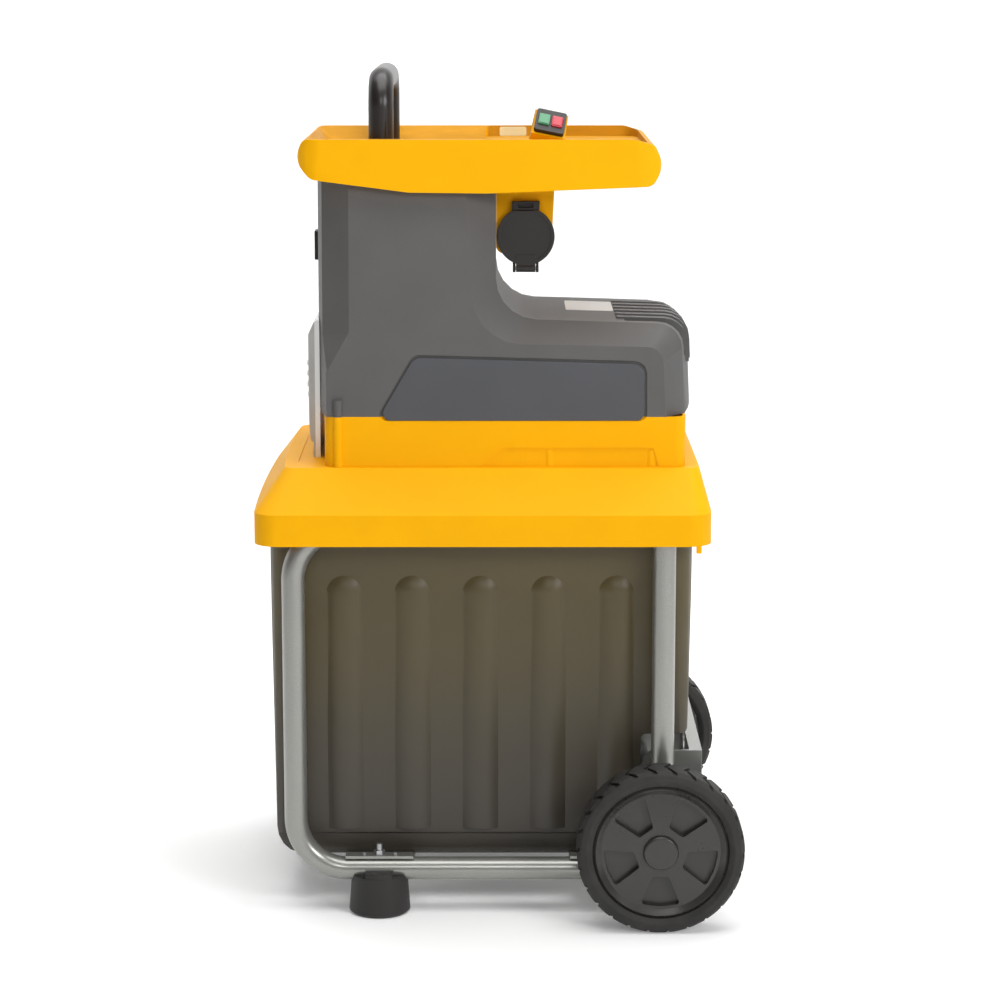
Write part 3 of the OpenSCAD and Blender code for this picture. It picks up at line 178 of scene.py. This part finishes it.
def rubber(name, worn, fresh):
    """Tyre rubber: matt and cloudy, with a fine skin."""
    f = Finish(name)
    cloud = f.noise(scale=30, detail=4)
    skin = f.noise(scale=900)
    return f.coat(Base_Color=f.mix(cloud.between(0.3, 0.75), fresh, worn), Roughness=0.62 + 0.15 * cloud,
                  Specular_IOR_Level=0.35, Normal=f.bump(skin, 0.1 * MM))


def smoked(name, low_colour, high_colour, haze):
    """Smoked clear plastic: warmer near the top, where light comes through from the base, and darker below;
    this light and shade are painted into the colour.
    """
    f = Finish(name)
    up = f.part(f.place, "Z").between(0.08, 0.4)
    cloud = f.noise(scale=5, detail=2)
    skin = f.noise(scale=700, detail=2)
    # painted light and shade: warmer colour towards the top, darker below
    shade = f.mix(up, low_colour, high_colour)
    shade = f.mix(cloud.between(0.35, 0.75) * 0.2, shade, haze)
    return f.coat(Base_Color=shade, Roughness=0.4 + 0.06 * cloud, Alpha=0.95 - 0.08 * up,
                  Normal=f.bump(skin, 0.02 * MM))


def tray_with_painted_shade(name, colour, painted_shade_colour, low, high):
    """The tray's yellow, with painted shade on all that faces up or inwards: there it is darker, streaky and
    rougher, standing in for the shade inside the tray.
    """
    f = Finish(name)
    cloud = f.noise(scale=9, detail=4)
    # streaks that vary the painted shade and the roughness
    shade_streaks = f.noise(scale=55, detail=4, roughness=0.6, stretch=(0.25, 1, 1))
    skin = f.noise(scale=1500, detail=2, roughness=0.5)
    facing = f.node("ShaderNodeTexCoord", out="Normal")
    inwards = f.part(facing, "Z")
    for letter, a, b in zip("XY", low, high):
        from_middle = (f.part(f.place, letter) - (a + b) / 2) * (2 / (b - a))
        inwards = inwards - f.part(facing, letter) * from_middle
    # painted shade: how much of the darker colour each point gets, by how far it faces up or inwards
    inside = inwards.between(0.25, 0.5)
    outer = f.mix(cloud.between(0.3, 0.7), tint(colour, 0.97), tint(colour, 1.03))
    inner = f.mix(shade_streaks.between(0.3, 0.75), tint(painted_shade_colour, 0.9), tint(painted_shade_colour, 1.1))
    return f.coat(Base_Color=f.mix(inside, outer, inner), Specular_IOR_Level=0.08,
                  Roughness=0.42 + 0.1 * cloud + 0.12 * inside * shade_streaks, Normal=f.bump(skin, 0.03 * MM))


def strip_and_slide(name, strip_front):
    """The box lock: a bright steel strip against the neck and a grey moulded slide in front of it."""
    f = Finish(name)
    lines = f.noise(scale=60, roughness=0.6, stretch=(20, 20, 1))
    cloud = f.noise(scale=14)
    skin = f.noise(scale=1300, detail=2, roughness=0.5)
    blur = 0.2 * MM
    slide = 1 - f.part(f.place, "X").between(strip_front - blur, strip_front + blur)
    strip_shade = f.mix(lines, (0.8, 0.8, 0.78), (0.95, 0.95, 0.93))
    slide_shade = f.mix(cloud.between(0.3, 0.7), (0.46, 0.46, 0.445), (0.52, 0.52, 0.505))
    return f.coat(Base_Color=f.mix(slide, strip_shade, slide_shade), Metallic=0.25 * (1 - slide),
                  Roughness=0.3 + 0.14 * slide + 0.06 * cloud, Normal=f.bump(skin, 0.03 * MM))


def foil(name, colour, rough):
    """Bare foil: faint rolling lines and a little handling dirt."""
    f = Finish(name)
    lines = f.noise(scale=60, roughness=0.6, stretch=(1, 30, 30))
    dirt = f.noise(scale=45, detail=4)
    shade = f.mix(lines, tint(colour, 0.94), tint(colour, 1.04))
    shade = f.mix(dirt.between(0.55, 0.85) * 0.3, shade, tint(colour, 0.8))
    return f.coat(Base_Color=shade, Roughness=rough + 0.1 * dirt, Metallic=0.15 + 0.1 * lines,
                  Normal=f.bump(lines, 0.02 * MM, strength=0.4))


YELLOW = (0.87, 0.415, 0.001)
# painted shade for the tray where it faces up or inwards
TRAY_PAINTED_SHADE = (0.53, 0.245, 0.012)
STRIP_THICK = 5.5 * MM
lock = strip_and_slide("lock_strip_and_slide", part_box("box_lock")[1][0] - STRIP_THICK)
tray = tray_with_painted_shade("yellow_tray_plastic", YELLOW, TRAY_PAINTED_SHADE, *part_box("feed_hopper"))

# The finish of each material slot of the record
FINISHES = {
    "yellow_plastic": moulded("yellow_plastic", YELLOW, rough=0.45, grain=1500, depth=0.03 * MM,
                              mottle=0.03, shine=0.08),
    "grey_plastic": moulded("grey_housing_plastic", (0.094, 0.0915, 0.09), rough=0.52, grain=1300,
                            depth=0.08 * MM, mottle=0.06, shine=0.4),
    "panel_slate": moulded("slate_panel_plastic", (0.068, 0.07, 0.077), rough=0.45, grain=1500,
                           depth=0.04 * MM, mottle=0.04, shine=0.4),
    "black_plastic": moulded("black_plastic", (0.021, 0.019, 0.018), rough=0.46, grain=1300,
                             depth=0.06 * MM, mottle=0.12, shine=0.4),
    "handle_black": moulded("handle_gloss", (0.014, 0.011, 0.01), rough=0.3, grain=900,
                            depth=0.004 * MM, mottle=0.1),
    "wheel_plastic": moulded("wheel_disc_plastic", (0.031, 0.029, 0.026), rough=0.26, grain=1300,
                             depth=0.03 * MM),
    "start_green": moulded("start_button_green", (0.06, 0.27, 0.13), rough=0.35, grain=1500,
                           depth=0.02 * MM, mottle=0.05),
    "stop_red": moulded("stop_button_red", (0.5, 0.025, 0.05), rough=0.35, grain=1500,
                        depth=0.02 * MM, mottle=0.05),
    "capacitor_black": moulded("capacitor_can", (0.05, 0.05, 0.055), rough=0.4, grain=1300, depth=0.03 * MM),
    "tube_paint": lacquered("silver_tube_coat", (0.31, 0.31, 0.29), rough=0.26),
    "motor_paint": lacquered("motor_coat", (0.09, 0.09, 0.09), rough=0.45),
    "cutter_steel": metal("machined_steel", (0.56, 0.56, 0.57), rough=0.26, scratch=(1, 30, 30)),
    "zinc_steel": metal("zinc_plate", (0.5, 0.51, 0.52), rough=0.34, scratch=(8, 8, 8)),
    "cast_alloy": metal("cast_alloy", (0.5, 0.5, 0.49), rough=0.5, scratch=(12, 12, 12), metallic=0.9),
    "winding_copper": metal("varnished_copper", (0.5, 0.19, 0.06), rough=0.35, scratch=(60, 4, 4)),
    "tyre": rubber("tyre_rubber", worn=(0.034, 0.032, 0.03), fresh=(0.02, 0.019, 0.018)),
    "smoked_plastic": smoked("smoked_clear_plastic", low_colour=(0.05, 0.043, 0.033),
                             high_colour=(0.1, 0.076, 0.028), haze=(0.05, 0.045, 0.038)),
    "lock_silver": lock,
}
slot_of = {s["node"]: s["material_slot"] for s in frame["record"]["subparts"]}
body_of = {n: b for b, ns in frame["record"]["behaviour"]["bodies"].items() for n in ns}


# Pieces

WELD = 0.002 * MM                 # corners closer than this are one corner
LEVEL = 0.05 * MM                 # corners this close to a plane lie in it
FLAT = math.radians(0.04)         # faces that differ by less are one face
CORNER = math.radians(32)         # moulded edges sharper than this are rounded
PLATE_CORNER = math.radians(40)   # edges of plates and of the lip that stay crisp
FOLDED = math.radians(178)        # faces at more than this double back on each other


def piece(name, mesh, body, material):
    obj = bpy.data.objects.new(name, mesh)
    bpy.context.scene.collection.objects.link(obj)
    mesh.materials.clear()
    mesh.materials.append(material)
    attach(obj, body)
    return obj


def smooth(mesh, angle):
    """Smooth shading that keeps edges sharper than angle crisp."""
    mesh.shade_smooth()
    mesh.set_sharp_from_angle(angle=angle)


def edges_over(work, angle):
    return [e for e in work.edges if len(e.link_faces) == 2 and e.calc_face_angle(0) > angle]


def unfold(work):
    """Lays a flat wall again from its outline where its triangles double back on each other."""
    folds = edges_over(work, FOLDED)
    if not folds:
        return
    widest = max((f for e in folds for f in e.link_faces), key=lambda f: f.calc_area())
    normal = widest.normal.copy()
    level = normal.dot(widest.verts[0].co)
    wall = [f for f in work.faces if all(abs(normal.dot(v.co) - level) < LEVEL for v in f.verts)]
    if sum(f.normal.dot(normal) * f.calc_area() for f in wall) < 0:
        normal.negate()
    bmesh.ops.delete(work, geom=wall, context="FACES_ONLY")
    bmesh.ops.delete(work, geom=[e for e in work.edges if not e.link_faces], context="EDGES")
    rim = [e for e in work.edges if len(e.link_faces) == 1]
    bmesh.ops.triangle_fill(work, use_beauty=True, use_dissolve=False, edges=rim, normal=normal)


def softened(node, width):
    """The node again with its edges rounded by width, as the mould leaves them."""
    mesh = nodes[node].data.copy()
    mesh.name = node + "_soft"
    work = bmesh.new()
    work.from_mesh(mesh)
    bmesh.ops.remove_doubles(work, verts=work.verts, dist=WELD)
    unfold(work)  # the outer wall, where there is one to lay again
    unfold(work)  # the inner wall
    bmesh.ops.dissolve_limit(work, angle_limit=FLAT, verts=work.verts, edges=work.edges)
    sharp = edges_over(work, CORNER)
    if sharp and width:
        bmesh.ops.bevel(work, geom=sharp, offset=width, segments=2, profile=0.5, affect="EDGES",
                        clamp_overlap=True)
    bmesh.ops.triangulate(work, faces=[f for f in work.faces if len(f.verts) > 4])
    work.to_mesh(mesh)
    work.free()
    smooth(mesh, CORNER)
    material = tray if node == "feed_hopper" else FINISHES[slot_of[node]]
    obj = piece(node + "_soft", mesh, body_of[node], material)
    even = obj.modifiers.new("even_normals", "WEIGHTED_NORMAL")
    even.keep_sharp = True
    even.weight = 80
    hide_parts(node)


# How far each node's edges are rounded, in mm. With 0 it is only shaded smooth.
EDGES = {
    "feed_hopper": 1.6, "base_housing": 1.2, "left_housing_shell": 1.0, "right_housing_shell": 1.0,
    "left_side_panel": 0.7, "right_side_panel": 0.7, "box_lock": 1.2, "inlet_bracket": 0.8,
    "inlet_socket": 0.6, "inlet_flap": 0.7, "switch_bezel": 0.6, "start_button": 0.6, "stop_button": 0.6,
    "direction_bezel": 0.5, "direction_rocker": 0.5, "collection_box": 1.0, "left_foot": 0.8,
    "right_foot": 0.8, "left_tyre": 0.5, "right_tyre": 0.5, "left_wheel_disc": 0.6,
    "right_wheel_disc": 0.6, "left_hub_cap": 0.4, "right_hub_cap": 0.4, "adjuster_knob": 0.6,
    "carry_handle": 0.0, "left_frame_tube": 0.0, "right_frame_tube": 0.0, "axle_bracket": 0.4,
    "front_cross_plate": 0.4, "rear_cross_plate": 0.4, "bracket_bolts": 0.3, "foot_bolts": 0.3,
}
for name, node in nodes.items():
    if name in EDGES:
        softened(name, EDGES[name] * MM)
    else:
        node.data.materials.clear()
        node.data.materials.append(FINISHES[slot_of[name]])


def surface(hosts):
    """The faces of some nodes, to lay a piece on."""
    points = []
    faces = []
    for host in hosts:
        start = len(points)
        points += [v.co.copy() for v in nodes[host].data.vertices]
        faces += [[start + i for i in f.vertices] for f in nodes[host].data.polygons]
    return BVHTree.FromPolygons(points, faces)


def closed(work, name, body, material):
    """Makes a piece of a finished mesh, with its faces turned outwards."""
    bmesh.ops.recalc_face_normals(work, faces=work.faces)
    mesh = bpy.data.meshes.new(name)
    work.to_mesh(mesh)
    work.free()
    smooth(mesh, PLATE_CORNER)
    piece(name, mesh, body, material)


PLATE_COLUMNS = 24
PLATE_ROWS = 14
PLATE_LIFT = 0.02     # mm between a plate and what it lies on
PLATE_RIM = 0.6       # a plate's thickness at its rim, as a share


def draped(name, hosts, corner, across, along, ray, thick, radius, material, body="machine"):
    """A thin plate with round corners, laid on the hosts by looking along ray, and stuck there."""
    corner, across, along, ray = (Vector(v) * MM for v in (corner, across, along, ray))
    ray.normalize()
    tree = surface(hosts)
    ru = 2 * radius * MM / across.length
    rv = 2 * radius * MM / along.length

    def rounded(u, v):
        """A point of the square from -1 to 1, drawn in where the plate's corners are round."""
        du = (abs(u) - 1 + ru) / ru
        dv = (abs(v) - 1 + rv) / rv
        if du > 0 and dv > 0:
            k = max(du, dv) / math.hypot(du, dv)
            u = math.copysign(1 - ru + ru * du * k, u)
            v = math.copysign(1 - rv + rv * dv * k, v)
        return u, v

    work = bmesh.new()
    under = []
    over = []
    for j in range(PLATE_ROWS + 1):
        for i in range(PLATE_COLUMNS + 1):
            u, v = rounded(2 * i / PLATE_COLUMNS - 1, 2 * j / PLATE_ROWS - 1)
            place = corner + across * (u + 1) / 2 + along * (v + 1) / 2
            hit = tree.ray_cast(place, ray)[0] or place
            at_rim = i in (0, PLATE_COLUMNS) or j in (0, PLATE_ROWS)
            under.append(work.verts.new(hit - ray * PLATE_LIFT * MM))
            over.append(work.verts.new(hit - ray * thick * (PLATE_RIM if at_rim else 1) * MM))
    wide = PLATE_COLUMNS + 1
    for j in range(PLATE_ROWS):
        for i in range(PLATE_COLUMNS):
            ring = (j * wide + i, j * wide + i + 1, (j + 1) * wide + i + 1, (j + 1) * wide + i)
            work.faces.new([over[k] for k in ring])
            work.faces.new([under[k] for k in reversed(ring)])
    edge = [*range(PLATE_COLUMNS), *(j * wide + PLATE_COLUMNS for j in range(PLATE_ROWS)),
            *(PLATE_ROWS * wide + i for i in range(PLATE_COLUMNS, 0, -1)),
            *(j * wide for j in range(PLATE_ROWS, 0, -1))]
    for a, b in zip(edge, edge[1:] + edge[:1]):
        work.faces.new((under[a], under[b], over[b], over[a]))
    closed(work, name, body, material)


PLATE_THICK = 0.35
draped("bare_rating_plate", ("left_housing_shell", "right_housing_shell"), corner=(76, -15, 700),
       across=(53, 0, 0), along=(0, 90, 0), ray=(0, 0, -1), thick=PLATE_THICK, radius=2.5,
       material=foil("silver_foil", (0.62, 0.62, 0.6), rough=0.35))
draped("bare_tray_plate", ("feed_hopper",), corner=(2, 60, 828), across=(31, 0, 0), along=(0, 0, 10.5),
       ray=(0, 1, 0), thick=PLATE_THICK, radius=2, material=foil("pale_foil", (0.75, 0.68, 0.42), rough=0.45))

GRIP_COUNT = 4
GRIP_LOWEST = 548
GRIP_STEP = 12
for bar in range(GRIP_COUNT):
    draped(f"lock_grip_{bar + 1}", ("box_lock",), corner=(-240, -35, GRIP_LOWEST + GRIP_STEP * bar),
           across=(0, 70, 0), along=(0, 0, 5.5), ray=(1, 0, 0), thick=1.2, radius=2.5, material=lock,
           body="box_lock")

# The throat of the funnel and the lip round it, in mm
THROAT_MIDDLE = -111
THROAT_HALF_LENGTH = 52
THROAT_HALF_WIDTH = 60
THROAT_CORNER = 6
COLLAR_TOP = 788.3
LIP_START = 1         # from the throat's wall to the lip's inner edge
LIP_REACH = 13        # from the throat's wall to the lip's outer edge, on the funnel
LIP_THICK = 1.2
LIP_LIFT = 0.1        # the outer edge stands this far off the funnel
LIP_ARC = 12          # steps round each corner
OVER_TRAY = 860       # a height above the tray, to look down from


def funnel_lip():
    """The lip that closes the seam between the tray's funnel and the collar of its throat."""
    tree = surface(("feed_hopper",))
    outline = []
    for turn in range(4):
        for k in range(LIP_ARC + 1):
            angle = math.radians(90 * (turn + k / LIP_ARC))
            x = THROAT_MIDDLE + (THROAT_HALF_LENGTH - THROAT_CORNER) * (1 if turn in (0, 3) else -1)
            y = (THROAT_HALF_WIDTH - THROAT_CORNER) * (1 if turn in (0, 1) else -1)
            outline.append((x, y, math.cos(angle), math.sin(angle)))
    work = bmesh.new()
    rings = []
    for out, drop in ((LIP_START, 0), (LIP_REACH, 0), (LIP_REACH, LIP_THICK), (LIP_START, LIP_THICK)):
        ring = []
        radius = THROAT_CORNER + out
        for x, y, across, along in outline:
            place = Vector((x + radius * across, y + radius * along, OVER_TRAY)) * MM
            top = COLLAR_TOP * MM
            if out == LIP_REACH:
                top = tree.ray_cast(place, Vector((0, 0, -1)))[0].z + LIP_LIFT * MM
            ring.append(work.verts.new((place.x, place.y, top - drop * MM)))
        rings.append(ring)
    for a, b in zip(rings, rings[1:] + rings[:1]):
        for k in range(len(outline)):
            after = (k + 1) % len(outline)
            work.faces.new((a[k], a[after], b[after], b[k]))
    closed(work, "funnel_lip", "machine", tray)


funnel_lip()


# Studio: pale floor that rises behind the machine, soft light, the photo's camera. Metres and watts.

FLOOR_REACH = 60
BEND_START = 2.6
BEND_RADIUS = 1.5
BEND_STEPS = 15
BACKDROP_TOP = 6
GLOW_NEAR = 0.16      # the paper's own light by the machine
GLOW_FAR = 0.6        # and far from it, where the photo is white
GLOW_FROM = 3
GLOW_TO = 9
AIR = 0.09
# name, place, aim, size, watts
PANELS = (
    ("overhead", (0.2, -0.3, 3.0), (0.1, 0, 0.5), (2.6, 2.6), 84),
    ("key", (2.5, -2.9, 1.9), (0, 0, 0.5), (1.3, 1.2), 60),
    ("front", (0.2, -3.6, 2.0), (0, 0, 0.5), (0.8, 0.7), 20),
    ("backdrop", (0, 0.9, 3.2), (0, 4.0, 0.9), (5.0, 1.0), 85),
)
SENSOR_WIDTH = 36
LENS = 104.4
EYE = (0.0025, -3.237, 1.025)
LOOKS_DOWN = 10.5
SEES_TO = 100


def placed(name, data):
    obj = bpy.data.objects.new(name, data)
    bpy.context.scene.collection.objects.link(obj)
    return obj


def studio_floor():
    bend = [math.radians(90 * k / BEND_STEPS) for k in range(1, BEND_STEPS + 1)]
    profile = [(-FLOOR_REACH, 0), (BEND_START, 0)]
    profile += [(BEND_START + BEND_RADIUS * math.sin(a), BEND_RADIUS * (1 - math.cos(a))) for a in bend]
    profile.append((BEND_START + BEND_RADIUS, BACKDROP_TOP))
    work = bmesh.new()
    rows = [[work.verts.new((x, y, z)) for x in (-FLOOR_REACH, FLOOR_REACH)] for y, z in profile]
    for a, b in zip(rows, rows[1:]):
        work.faces.new((a[0], a[1], b[1], b[0]))
    mesh = bpy.data.meshes.new("floor")
    work.to_mesh(mesh)
    work.free()
    mesh.shade_smooth()
    f = Finish("studio_paper")
    cloud = f.noise(scale=3)
    distance = f.node("ShaderNodeVectorMath", {"operation": "LENGTH"}, {0: f.place}, out="Value")
    glow = f.mix(distance.between(GLOW_FROM, GLOW_TO), (GLOW_NEAR,) * 3, (GLOW_FAR,) * 3)
    mesh.materials.append(f.coat(Base_Color=f.mix(cloud, (0.86, 0.86, 0.86), (0.9, 0.9, 0.9)),
                                 Roughness=0.85, Emission_Color=glow, Emission_Strength=1.0))
    placed("floor", mesh)


def studio_light():
    bpy.context.scene.view_settings.view_transform = "Standard"
    world = bpy.data.worlds.new("studio_air")
    world.use_nodes = True
    air = world.node_tree.nodes["Background"].inputs
    air["Color"].default_value = (1, 1, 1, 1)
    air["Strength"].default_value = AIR
    bpy.context.scene.world = world
    for name, place, aim, size, watts in PANELS:
        light = bpy.data.lights.new(name, "AREA")
        light.shape = "RECTANGLE"
        light.size, light.size_y = size
        light.energy = watts
        obj = placed(name, light)
        obj.location = place
        obj.rotation_euler = (Vector(aim) - Vector(place)).to_track_quat("-Z", "Y").to_euler()


def studio_camera():
    camera = bpy.data.cameras.new("camera")
    camera.sensor_width = SENSOR_WIDTH
    camera.lens = LENS
    camera.clip_end = SEES_TO
    eye = placed("camera", camera)
    eye.location = EYE
    eye.rotation_euler = (math.radians(90 - LOOKS_DOWN), 0, 0)
    bpy.context.scene.camera = eye


studio_floor()
studio_light()
studio_camera()
